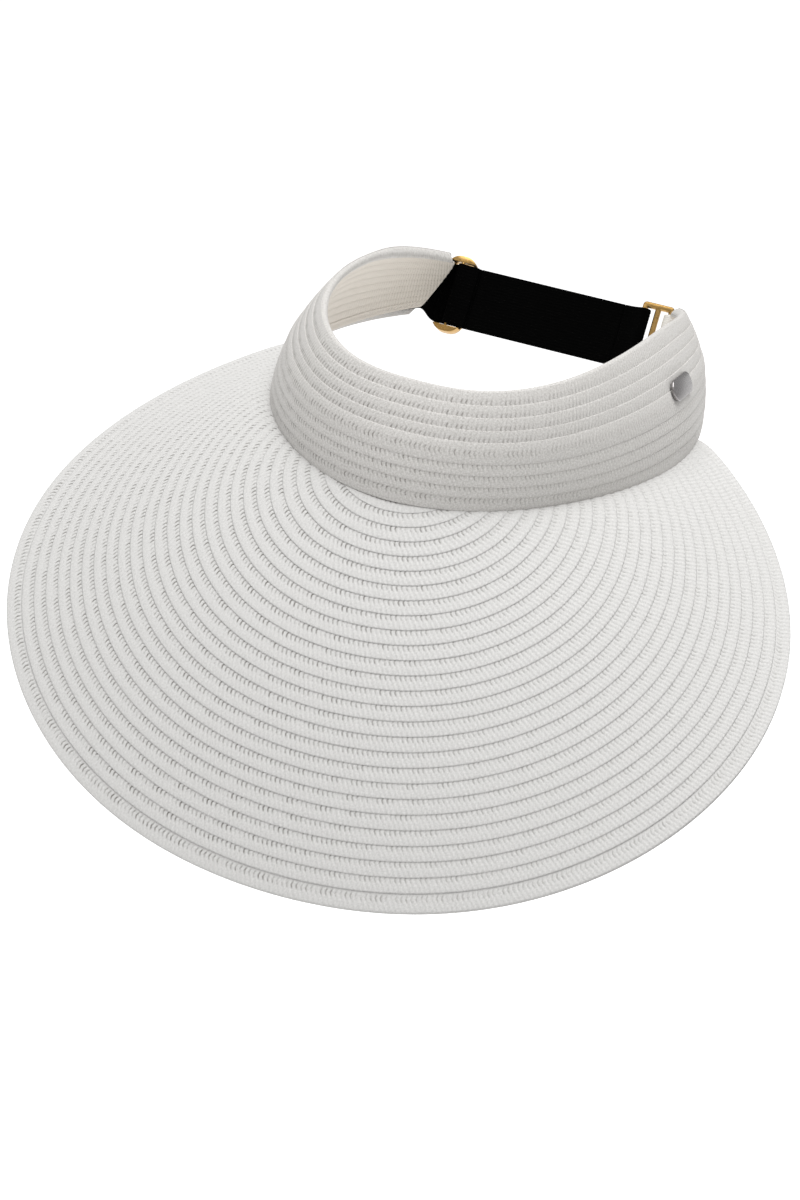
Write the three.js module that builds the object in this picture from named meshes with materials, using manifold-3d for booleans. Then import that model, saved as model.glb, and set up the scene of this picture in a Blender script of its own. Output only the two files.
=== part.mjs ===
// Sun visor of flat-plaited straw braid: an off-centre disc brim, a conical headband of two braid
// layers, and a black elastic strap across the back with a slider and a three-bar connector.
// Millimetres. +Z up, the wearer faces -Y, +X is the wearer's left. The origin is the middle of the
// head opening, level with the headband's lower edge.
import * as THREE from 'three';
import { mergeVertices } from 'three/addons/utils/BufferGeometryUtils.js';
import Module from 'manifold-3d';

// Headband: oval rings, with the opening's half depth (front to back) and half width
const BASE = { depth: 126, width: 86.6, round: 1.86 };
const TOP = { depth: 118, width: 65, round: 2.5 };
const TOP_SHIFT = 9; // the upper ring sits this much further back
const BAND_HEIGHT = 45;
const TOP_TILT = -0.098; // the upper edge falls towards the back
const TOP_DIP = -0.00123; // and towards both ends, per mm
const WALL_SWELL = 4.3; // the wall bellies outwards half way up
const BAND_END = THREE.MathUtils.degToRad(131.5); // from the front, round to each end
const TONGUE = 0.057; // angle by which the rounded ends reach out
const LAYER = 1.5; // one layer of overlapping braid
const GAP_FRONT = 0.6; // between the two layers
const GAP_END = 2.0; // between them where webbing is sewn in
const LINING_START = 0.05; // the lining stops short of the seam

// Brim: braid rows laid round a centre that is forward of the head opening
const DISC_CENTRE = 104.7; // forward of the origin
const DISC_RADIUS = 166; // measured along the cloth
const DISC_LONG = 0.12; // the rows are laid wider to the front
const DISC_WIDE = -0.044; // and a little wider to the sides
const CENTRE_HEIGHT = 8.3;
const FRONT_SLOPE = -0.55;
const SIDE_DROOP = -0.00397; // per mm
const FRONT_DROOP = -0.00567; // per mm
const FRONT_CURL = -9.2e-6; // per mm squared
const EDGE_LIFT = 4.9e-8; // per mm cubed
const SEAM_BEND = 0.07; // share of the band's size over which the brim bends away
const BRIM_DROP = 1.7; // the brim is sewn on under the band's edge
const BRIM_LAYER = 1.8;
const RIM_ROW = 7; // a second row sewn under the edge
const RIM_THICK = 1;
const ROW_GAP = 0.35;
const HORN_WIDTH = 5; // the brim's width where its ends are cut off

// Elastic strap, in its own frame: x along it, y up its width, z towards the head
const STRAP_LEAN = THREE.MathUtils.degToRad(30);
const STRAP_BACK = 97.5;
const STRAP_UP = 6.3;
const STRAP_WIDTH = 28;
const ELASTIC = 1.0;
const STRAP_START = -54;
const PLAY = 0.3; // between pieces that touch
const BURIED = 0.14; // angle over which webbing is sewn between the band's layers

// Connector: three bars in a frame, with the strap folded round the first and the tab round the last
const CONNECTOR_X = 43.1;
const CONNECTOR_Z = 3;
const CONNECTOR_THICK = 2.5;
const BAR_PITCH = 6;
const BAR_HALF = 1.2;
const BAR_BEVEL = 0.45;
const RAIL = 2.6;
const SIDE_PLAY = 0.8; // beside the webbing, inside the slots
const LOOP_OUTER = 3;
const LOOP_INNER = 2;
const FOLD_TAIL = 9;

// Slider: an oval plate behind the strap, with a round bar in front of it
const SLIDER_X = -49;
const SLIDER_WIDTH = 17;
const SLIDER_ROUND = 2.8; // between an ellipse and a rectangle
const SLIDER_END = 2.8;
const SLIDER_THICK = 1.6;
const SLIDER_SLOT = 0.5; // the window's share of the plate's width
const SLIDER_BAR = 0.8;
const SLIDER_BAR_Z = 3.4;
const END_LOOP_OUTER = 2.1;
const END_LOOP_INNER = 1.1;
const END_LOOP_TAIL = 9;

// Tab of pale tape
const TAB_WIDTH = 27;
const TAB_TAIL = 5;
const TAB_THICK = 1.2;

// Badge
const BADGE = { length: 24, height: 9, thick: 1.4, bevel: 0.3 };
const BADGE_ANGLE = THREE.MathUtils.degToRad(85.5);
const BADGE_LEVEL = 0.58;
const PRONG = { thick: 0.8, width: 2.4, pitch: 13, foot: 3 };
const WASHER = { length: 20, height: 7, thick: 0.6, hollow: 1.1 }; // hollow: room for the wall's curve

const wasm = await Module();
wasm.setup();

const STRAW = { color: 0xdedcd7, roughness: 0.75, metalness: 0 };
const STRAW_INNER = { color: 0xc8c0b6, roughness: 0.8, metalness: 0 };
const ELASTIC_BLACK = { color: 0x080808, roughness: 0.85, metalness: 0 };
const GOLD = { color: 0xac8d52, roughness: 0.3, metalness: 1 };
const SILVER = { color: 0xb9b9bd, roughness: 0.2, metalness: 1 };
const TAPE = { color: 0xe2dfda, roughness: 0.85, metalness: 0 };

/** A named mesh with its own material. */
function mesh(name, geometry, finish) {
  const made = new THREE.Mesh(geometry, new THREE.MeshStandardMaterial(finish));
  made.name = name;
  return made;
}

/** Volume enclosed by an indexed triangle list, positive when its faces point out. */
function signedVolume(points, index) {
  let total = 0;
  for (let i = 0; i < index.length; i += 3) {
    const [a, b, c] = [points[index[i]], points[index[i + 1]], points[index[i + 2]]];
    total += a.dot(new THREE.Vector3().crossVectors(b, c)) / 6;
  }
  return total;
}

/**
 * Closed solid between two sheets. sheet(u, v) gives a point of the middle surface, and the faces
 * lie at the distances low(u) and high(u) along its normal.
 */
function sheetSolid(sheet, nu, nv, low, high) {
  const points = [];
  const step = 1e-4;
  for (const offset of [low, high]) {
    for (let i = 0; i <= nu; i++) {
      for (let j = 0; j <= nv; j++) {
        const [u, v] = [i / nu, j / nv];
        const [du, dv] = [u < 0.5 ? step : -step, v < 0.5 ? step : -step];
        const middle = sheet(u, v);
        const along = sheet(u + du, v).sub(middle).multiplyScalar(Math.sign(du));
        const across = sheet(u, v + dv).sub(middle).multiplyScalar(Math.sign(dv));
        const normal = along.cross(across).normalize();
        points.push(middle.addScaledVector(normal, offset(u)));
      }
    }
  }
  const side = (nu + 1) * (nv + 1);
  const at = (k, i, j) => k * side + i * (nv + 1) + j;
  const index = [];
  const quad = (a, b, c, d) => index.push(a, b, c, a, c, d);
  for (let i = 0; i < nu; i++) {
    for (let j = 0; j < nv; j++) {
      quad(at(1, i, j), at(1, i + 1, j), at(1, i + 1, j + 1), at(1, i, j + 1));
      quad(at(0, i, j), at(0, i, j + 1), at(0, i + 1, j + 1), at(0, i + 1, j));
    }
    quad(at(0, i, 0), at(0, i + 1, 0), at(1, i + 1, 0), at(1, i, 0));
    quad(at(1, i, nv), at(1, i + 1, nv), at(0, i + 1, nv), at(0, i, nv));
  }
  for (let j = 0; j < nv; j++) {
    quad(at(0, 0, j), at(1, 0, j), at(1, 0, j + 1), at(0, 0, j + 1));
    quad(at(0, nu, j), at(0, nu, j + 1), at(1, nu, j + 1), at(1, nu, j));
  }
  if (signedVolume(points, index) < 0) index.reverse();
  const geometry = new THREE.BufferGeometry().setFromPoints(points);
  geometry.setIndex(index);
  geometry.computeVertexNormals();
  return geometry;
}

/** A geometry as a manifold-3d solid. */
function toSolid(geometry) {
  const bare = geometry.clone();
  bare.deleteAttribute('normal');
  bare.deleteAttribute('uv');
  const merged = mergeVertices(bare, 1e-4);
  const vertProperties = new Float32Array(merged.attributes.position.array);
  const triVerts = new Uint32Array(merged.index.array);
  return new wasm.Manifold(new wasm.Mesh({ numProp: 3, vertProperties, triVerts }));
}

/** A manifold-3d solid as a geometry. */
function toGeometry(solid) {
  const data = solid.getMesh();
  const geometry = new THREE.BufferGeometry();
  geometry.setAttribute('position', new THREE.BufferAttribute(data.vertProperties, 3));
  geometry.setIndex(new THREE.BufferAttribute(data.triVerts, 1));
  geometry.computeVertexNormals();
  return geometry;
}

/** A shape drawn in (x, z) carried along y over a width, as a folded webbing is. */
function acrossStrap(shape, width) {
  const options = { depth: width, bevelEnabled: false, curveSegments: 8 };
  const geometry = new THREE.ExtrudeGeometry(shape, options);
  geometry.rotateX(Math.PI / 2);
  geometry.translate(0, width / 2, 0);
  return geometry;
}

/** Point of an oval ring at an angle from the front, towards +X. */
function oval(ring, angle) {
  const c = Math.cos(angle);
  const s = Math.sin(angle);
  const k = (Math.abs(c) ** ring.round + Math.abs(s) ** ring.round) ** (-1 / ring.round);
  return new THREE.Vector2(ring.width * s * k, -ring.depth * c * k);
}

/** Middle of the headband's wall, t from 0 at its lower edge to 1 at its upper edge. */
function bandPoint(angle, t) {
  const low = oval(BASE, angle);
  const high = oval(TOP, angle).add(new THREE.Vector2(0, TOP_SHIFT));
  const swell = 4 * WALL_SWELL * t * (1 - t);
  const top = BAND_HEIGHT + TOP_TILT * high.y + TOP_DIP * high.y * high.y;
  const x = THREE.MathUtils.lerp(low.x, high.x, t) + swell * Math.sin(angle);
  const y = THREE.MathUtils.lerp(low.y, high.y, t) - swell * Math.cos(angle);
  return new THREE.Vector3(x, y, top * t);
}

/** Angle at which the band ends: a rounded tongue, fullest half way up. */
function bandEnd(t) {
  return BAND_END + TONGUE * Math.max(0, 4 * t * (1 - t)) ** 0.6;
}

/** Half the gap between the band's layers, opening out towards the ends. */
function halfGap(u) {
  const share = THREE.MathUtils.smoothstep(Math.abs(2 * u - 1), 0.7, 0.84);
  return THREE.MathUtils.lerp(GAP_FRONT, GAP_END, share) / 2;
}

/** One layer of the headband, open at the back, between two distances from the wall's middle. */
function headbandLayer(low, high, from) {
  const sheet = (u, v) => {
    const t = THREE.MathUtils.lerp(from, 1, v);
    return bandPoint((2 * u - 1) * bandEnd(t), t);
  };
  return sheetSolid(sheet, 60, 8, low, high);
}

/** How far a plan point lies out from the head opening: 1 on the band's lower edge. */
function openingShare(x, y) {
  const n = BASE.round;
  return (Math.abs(x / BASE.width) ** n + Math.abs(y / BASE.depth) ** n) ** (1 / n);
}

/** Height of the brim cloth over a plan point: level at the band, drooping outwards. */
function brimHeight(x, y) {
  const v = -(y + DISC_CENTRE);
  const far = x * x + v * v;
  const droop = CENTRE_HEIGHT + FRONT_SLOPE * v + SIDE_DROOP * x * x
    + FRONT_DROOP * v * v + FRONT_CURL * v ** 3 + EDGE_LIFT * far * far;
  const out = Math.max(openingShare(x, y) - 1, 0);
  return droop * (1 - Math.exp(-out / SEAM_BEND));
}

/** Point of the brim cloth at a plan distance from the disc's centre. */
function brimPoint(angle, reach) {
  const x = reach * Math.sin(angle);
  const y = -DISC_CENTRE - reach * Math.cos(angle);
  return new THREE.Vector3(x, y, brimHeight(x, y) - BRIM_DROP);
}

/** Plan distance to the rim, found by walking the disc's radius along the cloth. */
function rimReach(angle) {
  const share = 1 + DISC_LONG * Math.cos(angle) + DISC_WIDE * Math.cos(2 * angle);
  const length = DISC_RADIUS * share;
  const stride = 1;
  let walked = 0;
  let reach = 0;
  let here = brimPoint(angle, 0);
  while (walked < length) {
    const next = brimPoint(angle, reach + stride);
    const step = next.distanceTo(here);
    reach += stride * Math.min(1, (length - walked) / step);
    walked += step;
    here = next;
  }
  return reach;
}

/** Plan distance from the disc's centre to a little inside the band's lower edge. */
function seamReach(angle) {
  let near = 0;
  let far = 300;
  while (far - near > 0.01) {
    const middle = (near + far) / 2;
    const point = brimPoint(angle, middle);
    if (openingShare(point.x, point.y) < 0.99) near = middle;
    else far = middle;
  }
  return near;
}

/** Angle at which the rim meets the band and the brim ends in a point. */
function hornAngle(width) {
  let near = Math.PI / 2;
  let far = Math.PI;
  while (far - near > 1e-4) {
    const middle = (near + far) / 2;
    if (rimReach(middle) - seamReach(middle) > width) near = middle;
    else far = middle;
  }
  return near;
}

/** Brim cloth between two distances in from the rim; the wider one may be the seam itself. */
function brimStrip(horn, fromSeam, inset, nu, nv, low, high) {
  const spans = new Map();
  const span = (angle) => {
    if (!spans.has(angle)) {
      const rim = rimReach(angle);
      spans.set(angle, [fromSeam ? seamReach(angle) : rim - inset, rim]);
    }
    return spans.get(angle);
  };
  const sheet = (u, v) => {
    const angle = (2 * u - 1) * horn;
    const [near, far] = span(angle);
    return brimPoint(angle, THREE.MathUtils.lerp(near, far, v));
  };
  return sheetSolid(sheet, nu, nv, () => low, () => high);
}

/** Local frame on the headband: along the band, up its wall and out of it. */
function bandFrame(angle, t, offset) {
  const step = 1e-3;
  const here = bandPoint(angle, t);
  const along = bandPoint(angle + step, t).sub(here).normalize();
  const up = bandPoint(angle, t + step).sub(here).normalize();
  const out = new THREE.Vector3().crossVectors(along, up).normalize();
  up.crossVectors(out, along);
  const frame = new THREE.Matrix4().makeBasis(along, up, out);
  frame.setPosition(here.addScaledVector(out, offset));
  return frame;
}

/** Outline with round ends, centred on the origin. */
function roundEnded(length, height) {
  const r = height / 2;
  const half = length / 2 - r;
  const shape = new THREE.Shape();
  shape.absarc(half, 0, r, -Math.PI / 2, Math.PI / 2);
  shape.absarc(-half, 0, r, Math.PI / 2, Math.PI * 1.5);
  return shape;
}

/** Rectangle path with its corners rounded. */
function roundedRect(path, x0, y0, x1, y1, r) {
  path.absarc(x1 - r, y0 + r, r, -Math.PI / 2, 0);
  path.absarc(x1 - r, y1 - r, r, 0, Math.PI / 2);
  path.absarc(x0 + r, y1 - r, r, Math.PI / 2, Math.PI);
  path.absarc(x0 + r, y0 + r, r, Math.PI, Math.PI * 1.5);
  return path;
}

/** A box centred on a point. */
function block(w, h, d, x, y, z) {
  return new THREE.BoxGeometry(w, h, d).translate(x, y, z);
}

const visor = new THREE.Group();

// Brim and its doubled rim row
const horn = hornAngle(HORN_WIDTH);
const half = BRIM_LAYER / 2;
visor.add(mesh('brim', brimStrip(horn, true, 0, 60, 9, -half, half), STRAW));
const under = half + ROW_GAP;
const rimRow = brimStrip(horn - 0.1, false, RIM_ROW, 60, 1, under, under + RIM_THICK);
visor.add(mesh('rim_braid', rimRow, STRAW));

// Headband layers, pierced for the badge's prongs
const badgeFrame = bandFrame(BADGE_ANGLE, BADGE_LEVEL, 0);
const badgeGap = halfGap((1 + BADGE_ANGLE / bandEnd(BADGE_LEVEL)) / 2);
const washerBack = -badgeGap - LAYER - WASHER.hollow - WASHER.thick;

/** A geometry with slots cut for the badge's two prongs. */
function pierce(geometry) {
  let solid = toSolid(geometry);
  for (const side of [-1, 1]) {
    const x = side * PRONG.pitch / 2;
    const hole = block(PRONG.thick + 2 * PLAY, PRONG.width + 2 * PLAY, 12, x, 0, 0);
    solid = solid.subtract(toSolid(hole.applyMatrix4(badgeFrame)));
  }
  return toGeometry(solid);
}

const outer = headbandLayer((u) => halfGap(u), (u) => halfGap(u) + LAYER, 0);
const lining = headbandLayer((u) => -halfGap(u) - LAYER, (u) => -halfGap(u), LINING_START);
visor.add(mesh('headband_outer', pierce(outer), STRAW));
visor.add(mesh('headband_lining', pierce(lining), STRAW_INNER));

/** Badge plate with two prongs that are folded over the washer inside the band. */
function badgePlate() {
  const bevel = BADGE.bevel;
  const face = badgeGap + LAYER + PLAY;
  const outline = roundEnded(BADGE.length - 2 * bevel, BADGE.height - 2 * bevel);
  const plate = new THREE.ExtrudeGeometry(outline, {
    depth: BADGE.thick - 2 * bevel,
    bevelSize: bevel,
    bevelThickness: bevel,
    bevelSegments: 1,
    curveSegments: 8,
  });
  plate.translate(0, 0, face + bevel);
  let solid = toSolid(plate);
  const foot = washerBack - PLAY - PRONG.thick;
  const head = face + BADGE.thick / 2;
  for (const side of [-1, 1]) {
    const x = side * PRONG.pitch / 2;
    const leg = block(PRONG.thick, PRONG.width, head - foot, x, 0, (head + foot) / 2);
    const inwards = x - side * (PRONG.foot - PRONG.thick) / 2;
    const toe = block(PRONG.foot, PRONG.width, PRONG.thick, inwards, 0, foot + PRONG.thick / 2);
    solid = solid.add(toSolid(leg)).add(toSolid(toe));
  }
  return toGeometry(solid).applyMatrix4(badgeFrame);
}

/** Oval washer that the prongs grip. */
function badgeWasher() {
  const outline = roundEnded(WASHER.length, WASHER.height);
  const plate = new THREE.ExtrudeGeometry(outline, { depth: WASHER.thick, bevelEnabled: false });
  plate.translate(0, 0, washerBack);
  return pierce(plate.applyMatrix4(badgeFrame));
}

visor.add(mesh('badge', badgePlate(), SILVER));
visor.add(mesh('badge_washer', badgeWasher(), SILVER));

// The strap's own frame
const strap = new THREE.Group();
strap.position.set(0, STRAP_BACK, STRAP_UP);
strap.rotation.x = Math.PI / 2 - STRAP_LEAN;
strap.updateMatrix();
visor.add(strap);

/**
 * Webbing sewn between the band's layers: it follows the band to its end, then bends round to
 * meet the strap's frame at x = meet, with its middle at height z there.
 */
function anchorWebbing(side, meet, z, thick, width) {
  const cover = 0.45;
  const sheet = (u, v) => {
    const t = THREE.MathUtils.lerp(0.04, 0.96, v);
    const end = bandEnd(t);
    const level = (v - 0.5) * width;
    const goal = new THREE.Vector3(meet, level, z).applyMatrix4(strap.matrix);
    if (u < cover) return bandPoint(side * (end - BURIED * (1 - u / cover)), t);
    const tip = bandPoint(side * end, t);
    const heading = tip.clone().sub(bandPoint(side * (end - 0.01), t)).normalize();
    const reach = tip.distanceTo(goal);
    const s = (u - cover) / (1 - cover);
    const first = tip.clone().addScaledVector(heading, reach * 0.45);
    const second = goal.clone().add(new THREE.Vector3(side * reach * 0.45, 0, 0));
    return new THREE.CubicBezierCurve3(tip, first, second, goal).getPoint(s);
  };
  return sheetSolid(sheet, 16, 4, () => -thick / 2, () => thick / 2);
}

// Elastic strap: sewn in at the wearer's right, folded round the connector's first bar
const firstBar = CONNECTOR_X - BAR_PITCH;
const lastBar = CONNECTOR_X + BAR_PITCH;
const returnEnd = firstBar - FOLD_TAIL;
const endLoopTail = SLIDER_X + END_LOOP_TAIL;

/** The main run with its end sewn back on itself round the first bar. */
function strapMain() {
  const shape = new THREE.Shape();
  shape.moveTo(STRAP_START, 0);
  shape.lineTo(firstBar, 0);
  shape.absarc(firstBar, CONNECTOR_Z, LOOP_OUTER, -Math.PI / 2, Math.PI / 2);
  shape.lineTo(returnEnd, 2 * ELASTIC + PLAY);
  shape.lineTo(returnEnd, ELASTIC);
  shape.lineTo(STRAP_START, ELASTIC);
  const hole = new THREE.Path();
  hole.moveTo(firstBar, CONNECTOR_Z - LOOP_INNER);
  hole.absarc(firstBar, CONNECTOR_Z, LOOP_INNER, -Math.PI / 2, -Math.PI * 1.5, true);
  hole.lineTo(firstBar, CONNECTOR_Z + LOOP_INNER);
  hole.absarc(firstBar, CONNECTOR_Z, LOOP_INNER, Math.PI / 2, -Math.PI / 2, true);
  shape.holes.push(hole);
  return acrossStrap(shape, STRAP_WIDTH);
}

/** The loose end's run back to the slider, inside the main run. */
function strapReturn() {
  const low = ELASTIC + PLAY;
  const shape = new THREE.Shape();
  shape.moveTo(endLoopTail + PLAY, low);
  shape.lineTo(returnEnd - PLAY, low);
  shape.lineTo(returnEnd - PLAY, low + ELASTIC);
  shape.lineTo(endLoopTail + PLAY, low + ELASTIC);
  return acrossStrap(shape, STRAP_WIDTH);
}

/** The loose end, sewn round the slider's bar. */
function strapEndLoop() {
  const low = ELASTIC + PLAY;
  const shape = new THREE.Shape();
  shape.moveTo(SLIDER_X, low);
  shape.lineTo(endLoopTail, low);
  shape.lineTo(endLoopTail, low + ELASTIC);
  shape.lineTo(SLIDER_X, SLIDER_BAR_Z + END_LOOP_OUTER);
  shape.absarc(SLIDER_X, SLIDER_BAR_Z, END_LOOP_OUTER, Math.PI / 2, Math.PI * 1.5);
  const hole = new THREE.Path();
  hole.absarc(SLIDER_X, SLIDER_BAR_Z, END_LOOP_INNER, 0, -Math.PI * 2, true);
  shape.holes.push(hole);
  return acrossStrap(shape, STRAP_WIDTH);
}

const anchorMeet = STRAP_START - PLAY;
const anchor = anchorWebbing(-1, anchorMeet, ELASTIC / 2, ELASTIC, STRAP_WIDTH);
visor.add(mesh('strap_anchor', anchor, ELASTIC_BLACK));
strap.add(mesh('strap_main', strapMain(), ELASTIC_BLACK));
strap.add(mesh('strap_return', strapReturn(), ELASTIC_BLACK));
strap.add(mesh('strap_end_loop', strapEndLoop(), ELASTIC_BLACK));

/** Slider: plate with a window, end posts past the webbing's edges, and a bar between them. */
function slider() {
  const inner = STRAP_WIDTH / 2 + SIDE_PLAY;
  const width = SLIDER_WIDTH / 2;
  const ring = { width, depth: inner + SLIDER_END, round: SLIDER_ROUND };
  const steps = 48;
  const rim = Array.from({ length: steps }, (_, i) => oval(ring, (2 * Math.PI * i) / steps));
  const outline = new THREE.Shape(rim);
  const plateShape = outline.clone();
  const slot = SLIDER_SLOT * width;
  plateShape.holes.push(roundedRect(new THREE.Path(), -slot, -inner, slot, inner, 1.2));
  const flat = { bevelEnabled: false, curveSegments: 14 };
  const plate = new THREE.ExtrudeGeometry(plateShape, { depth: SLIDER_THICK, ...flat });
  plate.translate(0, 0, -SLIDER_THICK - PLAY);
  const top = SLIDER_BAR_Z + SLIDER_BAR;
  const ends = new THREE.ExtrudeGeometry(outline, { depth: top + 2 * PLAY, ...flat });
  ends.translate(0, 0, -2 * PLAY);
  const between = block(SLIDER_WIDTH + 2, 2 * inner, 40, 0, 0, 0);
  const bar = new THREE.CylinderGeometry(SLIDER_BAR, SLIDER_BAR, 2 * inner + 2, 12);
  bar.translate(0, 0, SLIDER_BAR_Z);
  const posts = toSolid(ends).subtract(toSolid(between));
  const solid = toSolid(plate).add(posts).add(toSolid(bar));
  return toGeometry(solid).translate(SLIDER_X, 0, 0);
}
strap.add(mesh('slider', slider(), GOLD));

/** Connector: three bars in a frame with rounded corners. */
function connector() {
  const halfWide = BAR_PITCH + BAR_HALF - BAR_BEVEL;
  const inner = STRAP_WIDTH / 2 + SIDE_PLAY;
  const halfTall = inner + RAIL - BAR_BEVEL;
  const shape = roundedRect(new THREE.Shape(), -halfWide, -halfTall, halfWide, halfTall, 1.2);
  const slotTall = inner + BAR_BEVEL;
  const slotNear = BAR_HALF - BAR_BEVEL;
  const slotFar = BAR_PITCH - BAR_HALF + BAR_BEVEL;
  for (const [from, to] of [[-slotFar, -slotNear], [slotNear, slotFar]]) {
    shape.holes.push(roundedRect(new THREE.Path(), from, -slotTall, to, slotTall, 0.5));
  }
  const geometry = new THREE.ExtrudeGeometry(shape, {
    depth: CONNECTOR_THICK - 2 * BAR_BEVEL,
    bevelSize: BAR_BEVEL,
    bevelThickness: BAR_BEVEL,
    bevelSegments: 1,
    curveSegments: 3,
  });
  geometry.translate(CONNECTOR_X, 0, CONNECTOR_Z - CONNECTOR_THICK / 2 + BAR_BEVEL);
  return geometry;
}
strap.add(mesh('connector', connector(), GOLD));

/** Tab: pale tape looped round the last bar and sewn into the band's end. */
function tabLoop() {
  const z = CONNECTOR_Z;
  const shape = new THREE.Shape();
  shape.moveTo(lastBar + TAB_TAIL, z - ELASTIC);
  shape.lineTo(lastBar + TAB_TAIL, z + ELASTIC);
  shape.lineTo(lastBar, z + LOOP_OUTER);
  shape.absarc(lastBar, z, LOOP_OUTER, Math.PI / 2, Math.PI * 1.5);
  const hole = new THREE.Path();
  hole.absarc(lastBar, z, LOOP_INNER, 0, -Math.PI * 2, true);
  shape.holes.push(hole);
  return acrossStrap(shape, TAB_WIDTH);
}
strap.add(mesh('tab_loop', tabLoop(), TAPE));
const tabMeet = lastBar + TAB_TAIL + PLAY;
const tabAnchor = anchorWebbing(1, tabMeet, CONNECTOR_Z, TAB_THICK, TAB_WIDTH);
visor.add(mesh('tab_anchor', tabAnchor, TAPE));

export default visor;
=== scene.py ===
"""Sun visor of sewn straw braid: an off-centre disc brim, a headband of two braid layers and a black
elastic strap across the back with a gold slider and connector. Sizes in this file are in mm."""

import math

import bmesh
import bpy
import numpy as np
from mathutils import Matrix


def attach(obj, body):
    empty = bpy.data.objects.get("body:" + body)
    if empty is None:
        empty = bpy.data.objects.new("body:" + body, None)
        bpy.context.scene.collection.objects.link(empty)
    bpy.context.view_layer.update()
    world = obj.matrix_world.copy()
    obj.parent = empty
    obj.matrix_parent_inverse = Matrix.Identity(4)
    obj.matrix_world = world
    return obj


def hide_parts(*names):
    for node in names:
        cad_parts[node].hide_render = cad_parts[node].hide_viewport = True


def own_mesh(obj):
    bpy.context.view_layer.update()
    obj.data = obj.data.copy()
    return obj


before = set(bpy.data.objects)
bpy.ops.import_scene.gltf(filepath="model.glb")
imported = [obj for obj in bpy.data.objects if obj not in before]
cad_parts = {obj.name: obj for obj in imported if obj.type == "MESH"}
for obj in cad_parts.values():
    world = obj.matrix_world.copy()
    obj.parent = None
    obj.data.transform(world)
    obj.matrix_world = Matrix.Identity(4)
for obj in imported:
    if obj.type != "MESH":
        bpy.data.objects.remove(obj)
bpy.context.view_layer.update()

# Camera: a long lens from in front and above, off towards the wearer's left and turned a little.
MM = 0.001
CAMERA_TURN, CAMERA_TILT, CAMERA_ROLL = (math.radians(a) for a in (16.05, 24.63, 8.54))
CAMERA_FAR = 1194.5
LENS = 88.244
LOOK_AT = np.array([0.0, -57.3, -19.1])
ACROSS, UP = -16.10, -47.38
CLIP_NEAR, CLIP_FAR = 0.01, 60


def make_camera():
    """Camera axes from turn, tilt and roll; it stands CAMERA_FAR back from its aim."""
    st, ct = math.sin(CAMERA_TURN), math.cos(CAMERA_TURN)
    se, ce = math.sin(CAMERA_TILT), math.cos(CAMERA_TILT)
    ahead = -np.array([st * ce, -ct * ce, se])
    level = np.array([ct, st, 0.0])
    high = np.cross(level, ahead)
    sr, cr = math.sin(CAMERA_ROLL), math.cos(CAMERA_ROLL)
    right = cr * level + sr * high
    upward = cr * high - sr * level
    aim = LOOK_AT + ACROSS * right + UP * upward
    place = np.eye(4)
    place[:3, 0], place[:3, 1], place[:3, 2] = right, upward, -ahead
    place[:3, 3] = (aim - CAMERA_FAR * ahead) * MM
    camera = bpy.data.objects.new("camera", bpy.data.cameras.new("camera"))
    camera.data.lens = LENS
    camera.data.clip_start, camera.data.clip_end = CLIP_NEAR, CLIP_FAR
    bpy.context.scene.collection.objects.link(camera)
    camera.matrix_world = place.T.tolist()
    bpy.context.scene.camera = camera


make_camera()

# Studio: white surroundings, one broad lamp overhead and a weak one at the right, and a pale floor
# well below the visor, so that its shadow is faint.
FLOOR_BELOW = 700
FLOOR_WIDE = 30000


def linear(colour):
    """sRGB hex to linear red, green and blue, with alpha 1."""
    parts = [int(colour[i : i + 2], 16) / 255 for i in (1, 3, 5)]
    curve = [p / 12.92 if p <= 0.04045 else ((p + 0.055) / 1.055) ** 2.4 for p in parts]
    return (*curve, 1.0)


def new_material(name):
    """A new node material, with its node tree and its shader."""
    material = bpy.data.materials.new(name)
    material.use_nodes = True
    tree = material.node_tree
    shader = tree.nodes["Principled BSDF"]
    return material, tree, shader


def add(tree, kind, links=(), **settings):
    """One node with its settings and links. A setting named i and a number is that input's value, and
    any other setting is a property of the node. links are (input, source socket) pairs."""
    made = tree.nodes.new("ShaderNode" + kind)
    for key, value in settings.items():
        if key[0] == "i" and key[1:].isdigit():
            made.inputs[int(key[1:])].default_value = value
        else:
            setattr(made, key, value)
    for socket, source in links:
        tree.links.new(source, made.inputs[socket])
    return made


def lamp(name, place, aim, size, power):
    """A square soft white lamp that faces its aim. size is in mm and power in watts."""
    light = bpy.data.lights.new(name, "AREA")
    light.size, light.energy = size * MM, power
    made = bpy.data.objects.new(name, light)
    bpy.context.scene.collection.objects.link(made)
    back = np.array(place, float) - np.array(aim, float)
    back /= np.linalg.norm(back)
    side = np.cross([0.0, 1.0, 0.01], back)
    side /= np.linalg.norm(side)
    turn = np.eye(4)
    turn[:3, 0], turn[:3, 1], turn[:3, 2] = side, np.cross(back, side), back
    turn[:3, 3] = np.array(place) * MM
    made.matrix_world = turn.T.tolist()


lamp("overhead lamp", (-20, -100, 1700), (0, -60, 0), 1700, 40)
lamp("right lamp", (1700, -900, 500), (0, 0, 0), 1000, 0.8)

world = bpy.data.worlds.new("studio")
world.use_nodes = True
world.node_tree.nodes["Background"].inputs[0].default_value = linear("#FFFFFF")
world.node_tree.nodes["Background"].inputs[1].default_value = 0.46
bpy.context.scene.world = world
bpy.context.scene.view_settings.view_transform = "Standard"

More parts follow.
